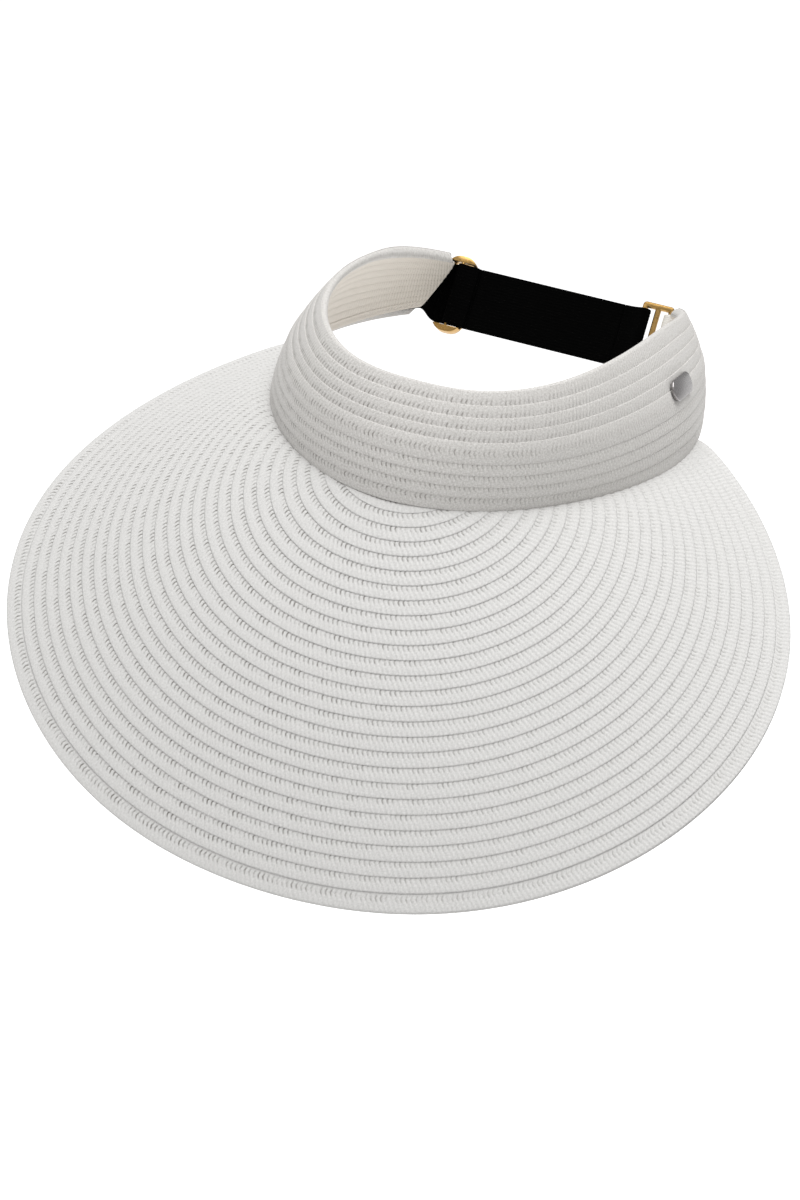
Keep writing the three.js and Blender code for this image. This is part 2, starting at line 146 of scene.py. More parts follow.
floor_mesh = bpy.data.meshes.new("floor")
half_floor = FLOOR_WIDE / 2 * MM
signs = ((-1, -1), (1, -1), (1, 1), (-1, 1))
corners = [(x * half_floor, y * half_floor, -FLOOR_BELOW * MM) for x, y in signs]
floor_mesh.from_pydata(corners, [], [(0, 1, 2, 3)])
floor = bpy.data.objects.new("floor", floor_mesh)
bpy.context.scene.collection.objects.link(floor)
paper, _, shader = new_material("white backing paper")
shader.inputs["Base Color"].default_value = linear("#FCFCFC")
shader.inputs["Roughness"].default_value = 0.9
shader.inputs["Emission Color"].default_value = linear("#FFFFFF")
shader.inputs["Emission Strength"].default_value = 0.55
floor_mesh.materials.append(paper)

# Straw braid, of which brim and band are made: a flat plait of paper straws, 9 mm wide. Its straws
# run out from the middle in a V, with slots between them near the middle. It thins towards its edges.
BRAID_WIDE = 9.2
BRAID_THICK = 1.1
BRAID_EDGE = 0.34
STRAW_PITCH = 1.9
STRAW_SLANT = -0.2
RIDGE_HIGH, SLOT_HIGH, SLOT_SINK = 0.03, 0.08, 0.03
SLOT_FADE = 1.6
UNDER_SHARE = -0.6
COLUMN = 0.5
UV_PER_MM = 0.1
ACROSS_TOP = np.array([0, 0.05, 0.14, 0.25, 0.38, 0.5, 0.62, 0.75, 0.86, 0.95, 1])
ACROSS_UNDER = np.array([0.96, 0.7, 0.3, 0.04])


def straw_relief(u, v):
    """Height of the plait over its mean at u along it and v across it. A cosine of the turns
    u / pitch + slant * |v| gives ridges in a V; they are highest in the middle, where the slots are."""
    phase = 2 * np.pi * (u / STRAW_PITCH + STRAW_SLANT * np.abs(v))
    slots = np.clip(1.3 - np.abs(v) / SLOT_FADE, 0, 1)
    return (RIDGE_HIGH + SLOT_HIGH * slots) * np.cos(phase) - SLOT_SINK * slots


def braid_strip(place, along, low, high, lift_low, lift_high, length, middle):
    """A length of braid as a closed tube of a lens-shaped section. place(along, across) gives points
    and normals of the cloth. low and high are the strip's limits across at each column, and middle is
    where v is 0. lift moves the section off the cloth, evenly from low to high. length is the place of
    each column along the braid. Gives back points and (u, v) as arrays of columns by section."""
    share = np.concatenate([ACROSS_TOP, [1.0], ACROSS_UNDER, [0.0]])
    tops = len(ACROSS_TOP)
    side = np.ones(len(share))
    side[tops] = side[-1] = 0
    side[tops + 1 : -1] = -1
    low, high = np.broadcast_to(low, along.shape), np.broadcast_to(high, along.shape)
    across = low[:, None] + (high - low)[:, None] * share
    v = across - middle
    u = np.broadcast_to(length[:, None], v.shape)
    bow = np.clip(np.abs(2 * v / BRAID_WIDE), 0, 1)
    thick = (BRAID_THICK + (BRAID_EDGE - BRAID_THICK) * bow**3) / 2
    whole = (v + BRAID_WIDE / 2) / BRAID_WIDE
    lift = lift_low + (lift_high - lift_low) * whole
    relief = straw_relief(u, v) * (side != 0)
    points, normals = place(np.broadcast_to(along[:, None], v.shape), across)
    height = lift + side * thick + relief * np.where(side > 0, 1, UNDER_SHARE)
    points = points + normals * height[..., None]
    return points, np.stack([u, v], -1)


def tubes(name, strips, material):
    """One mesh of closed tubes, each an array of columns by section with both ends capped."""
    points, faces, caps, uvs = [], [], [], []
    start = 0
    for p, uv in strips:
        n, m = p.shape[:2]
        ids = start + np.arange(n * m).reshape(n, m)
        nxt = np.roll(ids, -1, axis=1)
        faces.append(np.stack([ids[:-1], ids[1:], nxt[1:], nxt[:-1]], -1).reshape(-1, 4))
        caps += [ids[0].tolist(), ids[-1][::-1].tolist()]
        points.append(p.reshape(-1, 3))
        uvs.append(uv.reshape(-1, 2))
        start += n * m
    points, uvs = np.concatenate(points) * MM, np.concatenate(uvs) * UV_PER_MM
    quads = np.concatenate(faces)
    corners = np.concatenate([quads.ravel(), np.array([c for cap in caps for c in cap])])
    counts = np.concatenate([np.full(len(quads), 4), [len(cap) for cap in caps]])
    mesh = bpy.data.meshes.new(name)
    mesh.vertices.add(len(points))
    mesh.vertices.foreach_set("co", points.astype(np.float32).ravel())
    mesh.loops.add(len(corners))
    mesh.loops.foreach_set("vertex_index", corners.astype(np.int32))
    mesh.polygons.add(len(counts))
    starts = np.concatenate([[0], np.cumsum(counts)[:-1]])
    mesh.polygons.foreach_set("loop_start", starts.astype(np.int32))
    mesh.polygons.foreach_set("use_smooth", np.ones(len(counts), bool))
    layer = mesh.uv_layers.new(name="cm")
    layer.data.foreach_set("uv", uvs[corners].astype(np.float32).ravel())
    mesh.update(calc_edges=True)
    mesh.validate()
    a, b, c, d = (points[quads[:, i]] for i in range(4))
    if (a * (np.cross(b, c) + np.cross(c, d))).sum() < 0:
        mesh.flip_normals()
    mesh.materials.append(material)
    made = bpy.data.objects.new(name, mesh)
    bpy.context.scene.collection.objects.link(made)
    return made


def straw_material(name, pale, dark, slot_shade, reach):
    """Plaited paper straw, matt with a faint sheen. pale is its two tints. The slots between the
    straws are painted dark from the middle out to reach (mm): painted shade, some more than others,
    and most of all at the front and the wearer's right, where the light shows them. slot_shade is how
    far the painted shade goes towards dark."""
    material, tree, shader = new_material(name)
    uv = add(tree, "UVMap", uv_map="cm").outputs[0]
    apart = add(tree, "SeparateXYZ", [(0, uv)]).outputs
    u = add(tree, "Math", [(0, apart[0])], operation="MULTIPLY", i1=10.0).outputs[0]
    v = add(tree, "Math", [(0, apart[1])], operation="MULTIPLY", i1=10.0).outputs[0]
    off = add(tree, "Math", [(0, v)], operation="ABSOLUTE").outputs[0]
    slant = add(tree, "Math", [(0, off)], operation="MULTIPLY", i1=STRAW_SLANT).outputs[0]
    per_mm = 1 / STRAW_PITCH
    turns = add(tree, "Math", [(0, u), (2, slant)], operation="MULTIPLY_ADD", i1=per_mm).outputs[0]
    phase = add(tree, "Math", [(0, turns)], operation="MULTIPLY", i1=2 * math.pi).outputs[0]
    wave = add(tree, "Math", [(0, phase)], operation="COSINE").outputs[0]
    soft = {"interpolation_type": "SMOOTHSTEP"}
    gap = add(tree, "MapRange", [(0, wave)], i1=-0.1, i2=-0.95, **soft).outputs[0]
    centre = add(tree, "MapRange", [(0, off)], i1=reach, i2=0.4 * reach, **soft).outputs[0]
    flat = {"noise_dimensions": "2D"}
    patchy = add(tree, "TexNoise", [(0, uv)], i2=1.6, i3=5.0, i4=0.75, **flat).outputs[0]
    some = add(tree, "MapRange", [(0, patchy)], i1=0.38, i2=0.62, i3=0.1, i4=1.0).outputs[0]
    place = add(tree, "SeparateXYZ", [(0, add(tree, "TexCoord").outputs["Object"])]).outputs
    # Painted shade in the slots: full at the front and the wearer's right, where the light shows them,
    # down to 0.45 elsewhere.
    left = add(tree, "MapRange", [(0, place[0])], i1=-0.03, i2=0.08, i3=1.0, i4=0.45, **soft).outputs[0]
    front = add(tree, "MapRange", [(0, place[1])], i1=-0.09, i2=-0.03, i3=1.0, i4=0.45, **soft).outputs[0]
    light_side_shade = add(tree, "Math", [(0, left), (1, front)], operation="MULTIPLY").outputs[0]
    slot = add(tree, "Math", [(0, gap), (1, centre)], operation="MULTIPLY").outputs[0]
    slot = add(tree, "Math", [(0, slot), (1, some)], operation="MULTIPLY").outputs[0]
    slot = add(tree, "Math", [(0, slot), (1, light_side_shade)], operation="MULTIPLY").outputs[0]
    painted_slot_shade = add(tree, "Math", [(0, slot)], operation="MULTIPLY", i1=slot_shade).outputs[0]
    fibre = add(tree, "TexNoise", [(0, uv)], i2=14.0, i3=4.0, i4=0.7, **flat).outputs[0]
    tint = add(tree, "MapRange", [(0, fibre)], i1=0.3, i2=0.7, i3=0.0, i4=1.0).outputs[0]
    first, second = (linear(colour) for colour in pale)
    base = add(tree, "Mix", [(0, tint)], data_type="RGBA", i6=first, i7=second).outputs[2]
    # The slots are mixed towards the dark colour: painted shade in the gaps between straws.
    colour = add(tree, "Mix", [(0, painted_slot_shade), (6, base)], data_type="RGBA", i7=linear(dark)).outputs[2]
    tree.links.new(colour, shader.inputs["Base Color"])
    height = add(tree, "Math", [(0, slot), (2, wave)], operation="MULTIPLY_ADD", i1=-2.5).outputs[0]
    height = add(tree, "Math", [(0, fibre), (2, height)], operation="MULTIPLY_ADD", i1=1.6).outputs[0]
    bump = add(tree, "Bump", [("Height", height)])
    bump.inputs["Strength"].default_value = 0.5
    bump.inputs["Distance"].default_value = 0.00012
    tree.links.new(bump.outputs[0], shader.inputs["Normal"])
    shader.inputs["Roughness"].default_value = 0.68
    shader.inputs["Sheen Weight"].default_value = 0.08
    shader.inputs["IOR"].default_value = 1.45
    return material


# Brim: one straw braid sewn round and round a centre that lies forward of the head opening, each turn
# lapped under the one inside it. It is cut to the opening, sewn to the band's foot, and droops.
OPENING_DEEP, OPENING_WIDE, OPENING_ROUND = 126.0, 86.6, 1.86
DISC_CENTRE = 104.7
DISC_RADIUS = 166.0
BRIM_DROP = 1.7
ROW_PITCH = 5.394
ROW_SHIFT = 0.4
RIM_PITCH = 6.245
ROWS = 27
SEAM_SHARE = 0.985
BRIM_LIFT = 0.5
TURN_SHIFT = 7.3
HORN = math.radians(157)
DROOP = (8.3, 0.55, 0.00397, 0.00567, 9.2e-6, 4.9e-8)
DROOP_EASE = 0.07
WIDER_FRONT, WIDER_ENDS = 0.12, 0.044
TABLE_TURNS, TABLE_ROWS, TABLE_WALK, TABLE_STEP = 1081, 172.01, 320.0, 0.5
LEAST_WIDE = 0.6
FINE = 2001


def opening_share(x, y):
    """How far out a plan point lies, as the norm of a superellipse: 1 on the band's lower edge."""
    wide = np.abs(x / OPENING_WIDE) ** OPENING_ROUND
    deep = np.abs(y / OPENING_DEEP) ** OPENING_ROUND
    return (wide + deep) ** (1 / OPENING_ROUND)


def brim_height(x, y):
    """Height of the cloth: a polynomial in x and the distance v forward of the disc's centre, eased
    in exponentially from the band's foot."""
    v = -(y + DISC_CENTRE)
    far = x * x + v * v
    level, tilt, side, fall, cubic, quartic = DROOP
    droop = level - tilt * v - side * x * x - fall * v * v - cubic * v**3 + quartic * far * far
    out = np.maximum(opening_share(x, y) - 1, 0)
    return droop * (1 - np.exp(-out / DROOP_EASE)) - BRIM_DROP


def laid(angle):
    """How much wider than even a row is laid at an angle from the front: a sum of two cosines."""
    return 1 + WIDER_FRONT * np.cos(angle) - WIDER_ENDS * np.cos(2 * angle)


table_angles = np.linspace(-math.pi, math.pi, TABLE_TURNS)
table_rows = np.arange(0.0, TABLE_ROWS, TABLE_STEP)
walk = np.arange(0.0, TABLE_WALK, TABLE_STEP)


def measure_cloth():
    """Plan distance at each cloth length, and the length at which the seam lies, for each angle."""
    x = walk * np.sin(table_angles)[:, None]
    y = -DISC_CENTRE - walk * np.cos(table_angles)[:, None]
    z = brim_height(x, y)
    steps = np.sqrt(np.diff(x) ** 2 + np.diff(y) ** 2 + np.diff(z) ** 2)
    length = np.concatenate([np.zeros((len(x), 1)), np.cumsum(steps, axis=1)], axis=1)
    length /= laid(table_angles)[:, None]
    reach = np.array([np.interp(table_rows, line, walk) for line in length])
    inside = np.argmax(opening_share(x, y) > SEAM_SHARE, axis=1)
    seam = length[np.arange(len(x)), inside]
    return reach, seam


cloth_reach, seam_row = measure_cloth()


def look_up(table, angle, row):
    """Value between the four nearest entries of the cloth table."""
    a = (angle + math.pi) / (2 * math.pi) * (len(table_angles) - 1)
    r = np.clip(row, 0, table_rows[-1] - 1e-6) / (table_rows[1] - table_rows[0])
    i, j = np.clip(a.astype(int), 0, len(table_angles) - 2), r.astype(int)
    fa, fr = a - i, r - j
    near = table[i, j] * (1 - fr) + table[i, j + 1] * fr
    far = table[i + 1, j] * (1 - fr) + table[i + 1, j + 1] * fr
    return near * (1 - fa) + far * fa


def brim_place(angle, row):
    """Point and upward normal of the cloth at an angle and a laid distance from the centre."""
    reach = look_up(cloth_reach, angle, row)
    x, y = reach * np.sin(angle), -DISC_CENTRE - reach * np.cos(angle)
    z, step = brim_height(x, y), TABLE_STEP
    dx = (brim_height(x + step, y) - brim_height(x - step, y)) / (2 * step)
    dy = (brim_height(x, y + step) - brim_height(x, y - step)) / (2 * step)
    normal = np.stack([-dx, -dy, np.ones_like(dx)], -1)
    return np.stack([x, y, z], -1), normal / np.linalg.norm(normal, axis=-1, keepdims=True)


def brim_row(outer, wide, lift_low, lift_high, shift=0.0):
    """One turn of braid whose outer edge is at a laid distance, from end to end of the brim."""
    clear = outer - seam_row > LEAST_WIDE
    front = len(table_angles) // 2
    ends = []
    for side in (-1, 1):
        i = front
        while clear[i] and abs(table_angles[i]) < HORN:
            i += side
        ends.append(table_angles[i - side])
    angle = np.linspace(ends[0], ends[1], FINE)
    path, _ = brim_place(angle, np.full(angle.shape, outer - wide / 2))
    length = np.concatenate([[0], np.cumsum(np.linalg.norm(np.diff(path, axis=0), axis=1))])
    columns = np.arange(0, length[-1], COLUMN)
    angle = np.interp(columns, length, angle)
    low = np.maximum(outer - wide, np.interp(angle, table_angles, seam_row))
    high = np.full(angle.shape, outer)
    middle = outer - wide / 2
    return braid_strip(brim_place, angle, low, high, lift_low, lift_high, columns + shift, middle)


# White paper straw, matt and a little uneven in tint, with painted shade in its slots.
straw = straw_material("plaited white paper straw", ("#D5D4D2", "#BFBEBC"), "#75726D", 0.95, 1.7)
first_edge = DISC_RADIUS - RIM_PITCH - ROW_SHIFT - ROW_PITCH * (ROWS - 2)
row_edges = [first_edge + ROW_PITCH * k for k in range(ROWS - 1)] + [DISC_RADIUS]
brim_strips = [
    brim_row(edge, BRAID_WIDE, -BRIM_LIFT, BRIM_LIFT, TURN_SHIFT * k) for k, edge in enumerate(row_edges)
]
TURNS_EACH = 3
for first in range(0, ROWS, TURNS_EACH):
    last = first + TURNS_EACH
    turns = tubes(f"brim_turns_{first + 1:02d}_{last:02d}", brim_strips[first:last], straw)
    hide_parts("brim")
    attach(turns, "visor")

# Rim: a second straw braid, sewn flat under the outermost turn, so that the brim's edge is two
# braids thick.
RIM_PAST = 0.5
RIM_LIFT_IN, RIM_LIFT_OUT = -1.55, -1.1

rim_strip = brim_row(DISC_RADIUS + RIM_PAST, BRAID_WIDE, RIM_LIFT_IN, RIM_LIFT_OUT)
under_rim = tubes("rim_under_braid", [rim_strip], straw)
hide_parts("rim_braid")
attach(under_rim, "visor")

# Headband: nine rows of straw braid sewn edge over edge, with their foot sewn to the brim's inner
# edge. The middle row lies on top; the rows above it are lapped under it going up, and the rows
# below it going down.
BAND_HIGH = 45.0
BAND_SLANT = 48.0
TOP_DEEP, TOP_WIDE, TOP_ROUND, TOP_SHIFT = 118.0, 65.0, 2.5, 9.0
BAND_END = math.radians(131.5)
BAND_LAYER = 1.5
BAND_LIFT = 0.42
ROW_LEVELS = (-0.034, 0.101, 0.202, 0.306, 0.407, 0.599, 0.696, 0.798, 0.895, 1.0)
TOP_ROW = 4
LAP = 0.079
TONGUE = 0.057
BELLY = 4.3
TOP_SLOPE, TOP_CURVE = 0.098, 0.00123
GAP, GAP_OPENS = 0.6, 1.4
GAP_FROM, GAP_OVER = 0.7, 0.14
BAND_SHIFT, LINING_SHIFT = 5.1, 3.7


def oval(deep, wide, roundness, angle):
    """Point of a superellipse at an angle from the front, towards +X."""
    c, s = np.cos(angle), np.sin(angle)
    k = (np.abs(c) ** roundness + np.abs(s) ** roundness) ** (-1 / roundness)
    return wide * s * k, -deep * c * k


def band_end(t):
    """Angle at which the band ends: a rounded tongue, fullest half way up."""
    return BAND_END + TONGUE * np.clip(4 * t * (1 - t), 0, None) ** 0.6


def band_point(angle, t):
    """Point of the wall between the lower and the upper oval, bellied by a parabola."""
    x0, y0 = oval(OPENING_DEEP, OPENING_WIDE, OPENING_ROUND, angle)
    x1, y1 = oval(TOP_DEEP, TOP_WIDE, TOP_ROUND, angle)
    y1 = y1 + TOP_SHIFT
    swell = 4 * BELLY * t * (1 - t)
    z = t * (BAND_HIGH - TOP_SLOPE * y1 - TOP_CURVE * y1 * y1)
    x = x0 + (x1 - x0) * t + swell * np.sin(angle)
    y = y0 + (y1 - y0) * t - swell * np.cos(angle)
    return np.stack([x, y, z], -1)


def band_normal(angle, t):
    """Outward normal of the wall, from its slopes along and up."""
    step = 1e-3
    along = band_point(angle + step, t) - band_point(angle - step, t)
    up = band_point(angle, t + step) - band_point(angle, t - step)
    normal = np.cross(along, up)
    return normal / np.linalg.norm(normal, axis=-1, keepdims=True)


def half_gap(u):
    """Half the gap between the band's layers, opening smoothly near the ends where webbing goes in."""
    share = np.clip((np.abs(u) - GAP_FROM) / GAP_OVER, 0, 1)
    return (GAP + GAP_OPENS * share * share * (3 - 2 * share)) / 2


def band_strip(low, high, lift_low, lift_high, face, shift):
    """A row of braid on the wall, from level low to level high. face is 1 outside and -1 inside."""

    def place(u, across):
        t = across / BAND_SLANT
        angle = u * band_end(t)
        normal = band_normal(angle, t) * face
        return band_point(angle, t) + normal * (half_gap(u) + BAND_LAYER / 2)[..., None], normal

    middle = (low + high) / 2 * BAND_SLANT
    u = np.linspace(-1, 1, FINE)
    path = place(u, np.full(u.shape, middle))[0]
    length = np.concatenate([[0], np.cumsum(np.linalg.norm(np.diff(path, axis=0), axis=1))])
    columns = np.linspace(0, length[-1], int(length[-1] / COLUMN))
    u = np.interp(columns, length, u)
    low, high = low * BAND_SLANT, high * BAND_SLANT
    return braid_strip(place, u, low, high, lift_low, lift_high, columns + shift, middle)


band_strips = []
for k in range(len(ROW_LEVELS) - 1):
    low, high = ROW_LEVELS[k], ROW_LEVELS[k + 1]
    lift_low = lift_high = BAND_LIFT
    if k < TOP_ROW:
        high, lift_high = high + LAP, -BAND_LIFT
    if k > TOP_ROW:
        low, lift_low = low - LAP, -BAND_LIFT
    band_strips.append(band_strip(low, high, lift_low, lift_high, 1, BAND_SHIFT * k))

# White paper straw like the brim's, a little darker and more uneven in tint, with painted shade in its
# slots.
band_name, band_tints = "plaited white paper straw of the band", ("#D3D1CE", "#AFACA8")
band_straw = straw_material(band_name, band_tints, "#736F69", 0.85, 1.8)
for name, strips in (
    ("headband_rows_lower", band_strips[:3]),
    ("headband_rows_middle", band_strips[3:6]),
    ("headband_rows_upper", band_strips[6:]),
):
    rows = tubes(name, strips, band_straw)
    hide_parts("headband_outer")
    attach(rows, "visor")

# Lining: nine rows of a creamier straw braid inside the band, each tucked behind the one below it and
# sewn to it. The whole is sewn to the band along both edges.
LINING_ROWS = 9
LINING_LOW, LINING_TALL = 0.05, 0.93
LINING_LIFT = 0.26

lining_strips = []
for k in range(LINING_ROWS):
    low = LINING_LOW + LINING_TALL * k / LINING_ROWS - LAP * (k > 0)
    high = LINING_LOW + LINING_TALL * (k + 1) / LINING_ROWS
    strip = band_strip(low, high, -LINING_LIFT, LINING_LIFT, -1, LINING_SHIFT * k)
    lining_strips.append(strip)

# Cream paper straw, with paler painted shade in its slots than the band's.
lining_straw = straw_material("plaited straw lining", ("#D6CFC5", "#CBC4BA"), "#8F877C", 0.5, 1.7)
for name, strips in (("lining_rows_lower", lining_strips[:4]), ("lining_rows_upper", lining_strips[4:])):
    rows = tubes(name, strips, lining_straw)
    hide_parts("headband_lining")
    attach(rows, "visor")

# Top binding: a length of the band's braid folded over the upper edges of band and lining, and sewn
# through both.
BINDING_LEVELS = np.array([0.955, 0.985, 1.005, 1.014, 1.014, 1.005, 0.985, 0.955])
BINDING_SIDES = np.array([-1, -1, -0.75, -0.3, 0.3, 0.75, 1, 1])
BINDING_OUT = 1.35
BINDING_END = 0.995
BINDING_COLUMNS = 900
BINDING_V = 3


def edge_binding():
    """Section of eight points over the top of both layers, carried round the wall's upper edge. Each
    lies at its level up the wall; its distance out is its side times half the gap and BINDING_OUT."""
    u = np.linspace(-BINDING_END, BINDING_END, BINDING_COLUMNS)[:, None] * np.ones(8)
    t = np.ones(u.shape) * BINDING_LEVELS
    angle = u * band_end(t)
    out = BINDING_SIDES * (half_gap(u) + BINDING_OUT)
    points = band_point(angle, t) + band_normal(angle, t) * out[..., None]
    length = np.concatenate([[0], np.cumsum(np.linalg.norm(np.diff(points[:, 3], axis=0), axis=1))])
    along = length[:, None] * np.ones(8)
    return points, np.stack([along, BINDING_V + BINDING_SIDES * np.ones(u.shape)], -1)


binding = tubes("headband_top_binding", [edge_binding()], band_straw)
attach(binding, "visor")

# Elastic strap: one length of flat black woven elastic. One end is sewn between the band's layers at
# the wearer's right. It runs across the back, round the connector's first bar and back on the inside
# of itself, and its other end is sewn round the slider's bar.
STRAP_LEAN = math.radians(30)
STRAP_BACK, STRAP_UP = 97.5, 6.3
STRAP_WIDE, WEB_THICK, LOOP_THICK, SEWN_THICK = 28.0, 0.96, 0.9, 1.0
RIB_PITCH, RIB_DEEP = 1.4, 0.05
EDGE_THIN, EDGE_STEEP = 0.35, 30
WEB_POINTS, ARC_POINTS, SEWN_STEPS = 61, 18, 60
WEB_STEP = 0.7
RUN_Z, RETURN_Z = 0.5, 1.8
MAIN_START, SEAM_X = -54.8, -54.3
FIRST_BAR, BAR_Z = 37.1, 3.0
BAR_FOLD = 2.5
FOLD_END = ((32.1, 2.5), (28.1, 1.8))
RETURN_FROM, RETURN_TO = -39.7, 27.8
SLIDER_X, SLIDER_BAR_Z = -49.0, 3.4
SLIDER_FOLD = 1.6
LOOP_FROM, LOOP_TO = (-41, 2.9), (-40, 1.8)
SEWN_LOW, SEWN_TALL = 0.04, 0.92
SEWN_DEEP = 0.14
SEWN_SHARE = 0.45
BEND = 0.45


def webbing_material(name, colour, pale, rib, pick, rough):
    """Woven webbing: ribs along it, crossed by finer picks of thread. Its colour is painted shade
    following the weave's height: darker in the hollows, paler on the raised threads.
    """
    material, tree, shader = new_material(name)
    apart = add(tree, "SeparateXYZ", [(0, add(tree, "UVMap", uv_map="cm").outputs[0])]).outputs
    waves = []
    for socket, pitch in ((apart[1], rib), (apart[0], pick)):
        turn = add(tree, "Math", [(0, socket)], operation="MULTIPLY", i1=20 * math.pi / pitch).outputs[0]
        waves.append(add(tree, "Math", [(0, turn)], operation="COSINE").outputs[0])
    both = add(tree, "Math", [(0, waves[0]), (1, waves[1])], operation="MULTIPLY").outputs[0]
    height = add(tree, "Math", [(0, both), (2, waves[0])], operation="MULTIPLY_ADD", i1=0.5).outputs[0]
    # Painted shade: the weave's hollows take the darker colour and its raised threads the paler one.
    share = add(tree, "MapRange", [(0, height)], i1=-1.5, i2=1.5).outputs[0]
    tints = {"i6": linear(colour), "i7": linear(pale)}
    shade = add(tree, "Mix", [(0, share)], data_type="RGBA", **tints).outputs[2]
    tree.links.new(shade, shader.inputs["Base Color"])
    bump = add(tree, "Bump", [("Height", share)])
    bump.inputs["Strength"].default_value = 0.5
    bump.inputs["Distance"].default_value = 0.00015
    tree.links.new(bump.outputs[0], shader.inputs["Normal"])
    shader.inputs["Roughness"].default_value = rough
    shader.inputs["Specular IOR Level"].default_value = 0.04
    return material


# Rubber threads covered in black yarn, quite matt.
elastic = webbing_material("black woven elastic", "#000000", "#020202", RIB_PITCH, 0.7, 1.0)


def strap_frame(x, y, z):
    """From the strap's own frame (along, up its width, towards the head) to the visor's."""
    c, s = math.cos(STRAP_LEAN), math.sin(STRAP_LEAN)
    return np.stack([x + 0 * y, STRAP_BACK + s * y - c * z, STRAP_UP + c * y + s * z], -1)


def web_section(wide, thick):
    """Across and through places of a flat section. Both faces have a cosine of ribs on them, and thin
    at the edges."""
    y = np.linspace(-1, 1, WEB_POINTS)
    swell = np.clip((1 - np.abs(y)) * EDGE_STEEP, 0, 1) ** 0.5
    ribs = RIB_DEEP * np.cos(np.pi * y * wide / RIB_PITCH)
    face = (thick / 2 - RIB_DEEP + ribs) * (EDGE_THIN + (1 - EDGE_THIN) * swell)
    return np.concatenate([y, y[::-1]]) * wide / 2, np.concatenate([face, -face[::-1]])


def folded(path, wide, thick=WEB_THICK):
    """Webbing whose middle follows a path of (x, z) points in the strap's frame."""
    path = np.array(path, float)
    steps = np.concatenate([[0], np.cumsum(np.linalg.norm(np.diff(path, axis=0), axis=1))])
    at = np.linspace(0, steps[-1], max(int(steps[-1] / WEB_STEP), 12))
    line = np.stack([np.interp(at, steps, path[:, k]) for k in (0, 1)], -1)
    slope = np.gradient(line, axis=0)
    slope /= np.linalg.norm(slope, axis=1, keepdims=True)
    y, through = web_section(wide, thick)
    x = line[:, :1] - slope[:, 1:] * through
    z = line[:, 1:] + slope[:, :1] * through
    uv = np.stack([at[:, None] + 0 * y, y + 0 * at[:, None]], -1)
    return strap_frame(x, np.broadcast_to(y, x.shape), z), uv


def arc(x, z, radius, start, end):
    """Points round a centre from one angle to another, in degrees."""
    turn = np.radians(np.linspace(start, end, ARC_POINTS))
    return np.stack([x + radius * np.cos(turn), z + radius * np.sin(turn)], -1).tolist()


def sewn_in(side, meet, z, wide, thick):
    """Webbing from between the band's layers to the strap's frame: it follows the wall, then a
    cubic Bezier curve from the wall's end to the meeting line."""
    y, through = web_section(wide, thick)
    share = (y / wide + 0.5)[None, :]
    t = SEWN_LOW + SEWN_TALL * share
    u = np.linspace(0, 1, SEWN_STEPS)[:, None]
    end = band_end(t)
    inward = SEWN_DEEP * (1 - np.minimum(u / SEWN_SHARE, 1))
    wall = band_point(side * (end - inward), t + 0 * u)
    tip = band_point(side * end, t)
    heading = tip - band_point(side * (end - 0.01), t)
    heading /= np.linalg.norm(heading, axis=-1, keepdims=True)
    goal = strap_frame(np.full(y.shape, meet), y, np.full(y.shape, z))[None]
    reach = np.linalg.norm(goal - tip, axis=-1, keepdims=True)
    first = tip + heading * reach * BEND
    second = goal + np.array([side, 0, 0]) * reach * BEND
    s = np.clip((u - SEWN_SHARE) / (1 - SEWN_SHARE), 0, 1)[..., None]
    free = (1 - s) ** 3 * tip + 3 * s * (1 - s) ** 2 * first + 3 * s * s * (1 - s) * second + s**3 * goal
    middle = np.where((u < SEWN_SHARE)[..., None], wall, free)
    along = np.gradient(middle, axis=0)
    half = len(y) // 2
    across = np.gradient(middle[:, :half], axis=1)
    across = np.concatenate([across, across[:, ::-1]], axis=1)
    normal = np.cross(along, across)
    normal /= np.linalg.norm(normal, axis=-1, keepdims=True)
    steps = np.linalg.norm(along, axis=-1).mean(1).cumsum()
    uv = np.stack([steps[:, None] + 0 * y, y + 0 * steps[:, None]], -1)
    return middle + normal * through[None, :, None], uv


def webbing(name, strip, material, body, node):
    """One closed piece of webbing that shows in a CAD node's place."""
    made = tubes(name, [strip], material)
    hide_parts(node)
    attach(made, body)
    return made


sewn_strip = sewn_in(-1, SEAM_X, RUN_Z, STRAP_WIDE, SEWN_THICK)
main_path = [(MAIN_START, RUN_Z), *arc(FIRST_BAR, BAR_Z, BAR_FOLD, -90, 90), *FOLD_END]
main_strip = folded(main_path, STRAP_WIDE)
return_strip = folded([(RETURN_FROM, RETURN_Z), (RETURN_TO, RETURN_Z)], STRAP_WIDE)
loop_path = [LOOP_FROM, *arc(SLIDER_X, SLIDER_BAR_Z, SLIDER_FOLD, 80, 270), LOOP_TO]
loop_strip = folded(loop_path, STRAP_WIDE, LOOP_THICK)
webbing("strap_sewn_end", sewn_strip, elastic, "visor", "strap_anchor")
webbing("strap_main_run", main_strip, elastic, "strap", "strap_main")
return_run = webbing("strap_return_run", return_strip, elastic, "strap", "strap_return")
webbing("strap_loop_on_slider", loop_strip, elastic, "slider", "strap_end_loop")
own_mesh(return_run)

# Tab: a short length of pale cotton tape. Its ends are sewn between the band's layers at the wearer's
# left, and its loop holds the connector's last bar.
TAPE_WIDE, TAPE_THICK, TAPE_SEWN_THICK = 27.0, 0.9, 1.2
LAST_BAR = 49.1
TAB_MEET, TAB_Z = 54.4, 3.0
TAB_MOUTH, TAB_OUTER, TAB_INNER = 54.1, 3.5, 2.5

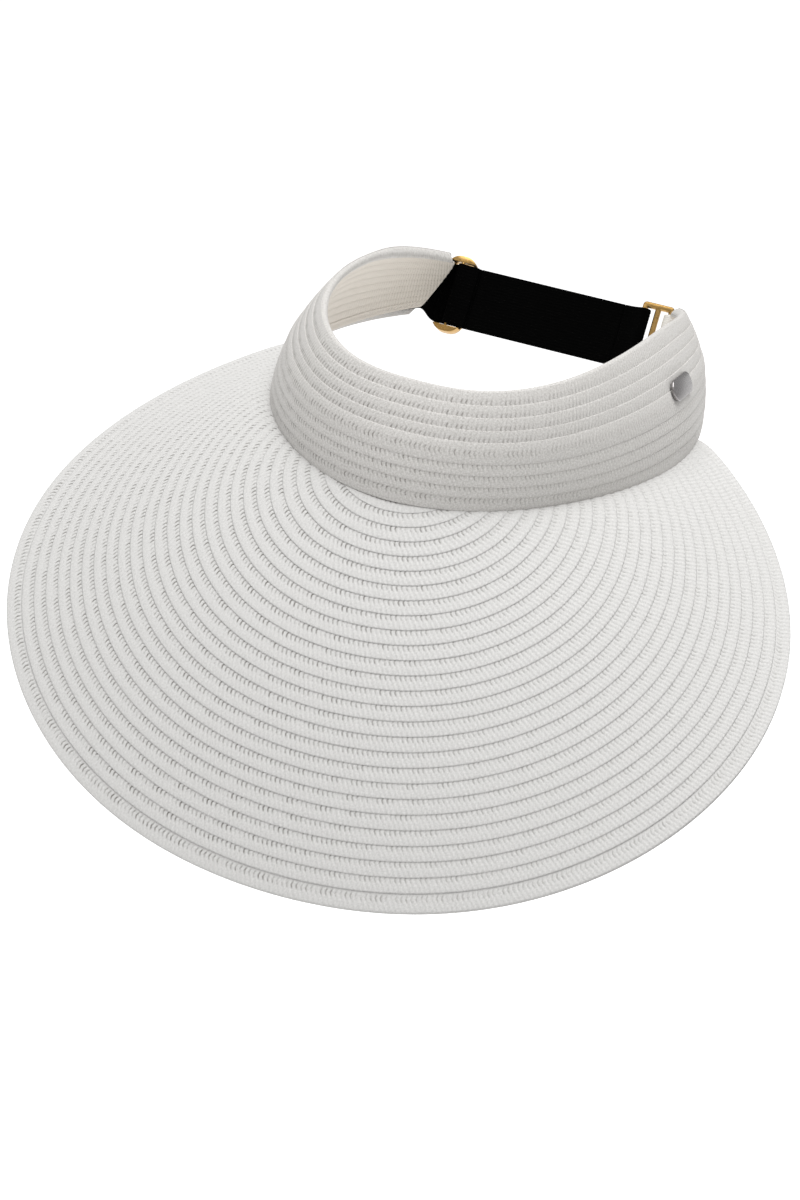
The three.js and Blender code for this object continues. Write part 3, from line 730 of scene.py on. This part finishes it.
# Undyed cotton, matt.
tape = webbing_material("pale cotton tape", "#C9C6C0", "#DCD9D3", 0.9, 0.6, 0.9)
tab_strip = sewn_in(1, TAB_MEET, TAB_Z, TAPE_WIDE, TAPE_SEWN_THICK)
tab_turn = arc(LAST_BAR, BAR_Z, BAR_FOLD, 90, 270)
tab_path = [(TAB_MOUTH, TAB_OUTER), *tab_turn, (TAB_MOUTH, TAB_INNER)]
tab_loop_strip = folded(tab_path, TAPE_WIDE, TAPE_THICK)
webbing("tab_sewn_end", tab_strip, tape, "visor", "tab_anchor")
webbing("tab_loop_tape", tab_loop_strip, tape, "visor", "tab_loop")

# Slider and connector: two gold-plated zinc castings. The slider rides on the strap, with the strap's
# loose end sewn round its bar; the connector links the strap's fold to the tab's loop.
SLIDER_ROUND, CONNECTOR_ROUND = 0.25, 0.2
SHARP = math.radians(35)


def plated(name, colour, rough):
    """Plated zinc casting: smooth metal with faint unevenness in its gloss."""
    material, tree, shader = new_material(name)
    place = add(tree, "TexCoord").outputs["Object"]
    spots = add(tree, "TexNoise", [(0, place)], i2=900.0, i3=3.0).outputs[0]
    least, most = rough - 0.05, rough + 0.08
    gloss = add(tree, "MapRange", [(0, spots)], i1=0.3, i2=0.7, i3=least, i4=most).outputs[0]
    tree.links.new(gloss, shader.inputs["Roughness"])
    shader.inputs["Base Color"].default_value = linear(colour)
    shader.inputs["Metallic"].default_value = 1.0
    return material


def refined(node, name, material, body, bevel):
    """A merged copy of a CAD node with its edges rounded."""
    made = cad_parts[node].copy()
    made.data = made.data.copy()
    made.name = made.data.name = name
    made.parent = None
    for key in list(made.keys()):
        del made[key]
    bpy.context.scene.collection.objects.link(made)
    mesh = bmesh.new()
    mesh.from_mesh(made.data)
    bmesh.ops.remove_doubles(mesh, verts=mesh.verts, dist=1e-6)
    mesh.to_mesh(made.data)
    mesh.free()
    made.data.materials.clear()
    made.data.materials.append(material)
    made.data.polygons.foreach_set("use_smooth", np.ones(len(made.data.polygons), bool))
    edge = made.modifiers.new("rounded edges", "BEVEL")
    edge.width, edge.segments = bevel * MM, 2
    edge.limit_method, edge.angle_limit = "ANGLE", SHARP
    edge.harden_normals = True
    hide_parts(node)
    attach(made, body)


# Bright yellow gold plate, softly polished.
gold = plated("gold-plated zinc", "#B8945A", 0.3)
refined("slider", "slider_frame", gold, "slider", SLIDER_ROUND)
refined("connector", "connector_frame", gold, "connector", CONNECTOR_ROUND)

# Badge: a nickel-plated plate with rounded ends on the outside of the band. Its two prongs go through
# the band and are bent over a small washer on the inside.
BADGE_ROUND, WASHER_ROUND = 0.15, 0.1

# Nickel plate, polished.
nickel = plated("nickel plate", "#9E9B9B", 0.24)
refined("badge", "badge_plate", nickel, "visor", BADGE_ROUND)
refined("badge_washer", "badge_backing_washer", nickel, "visor", WASHER_ROUND)
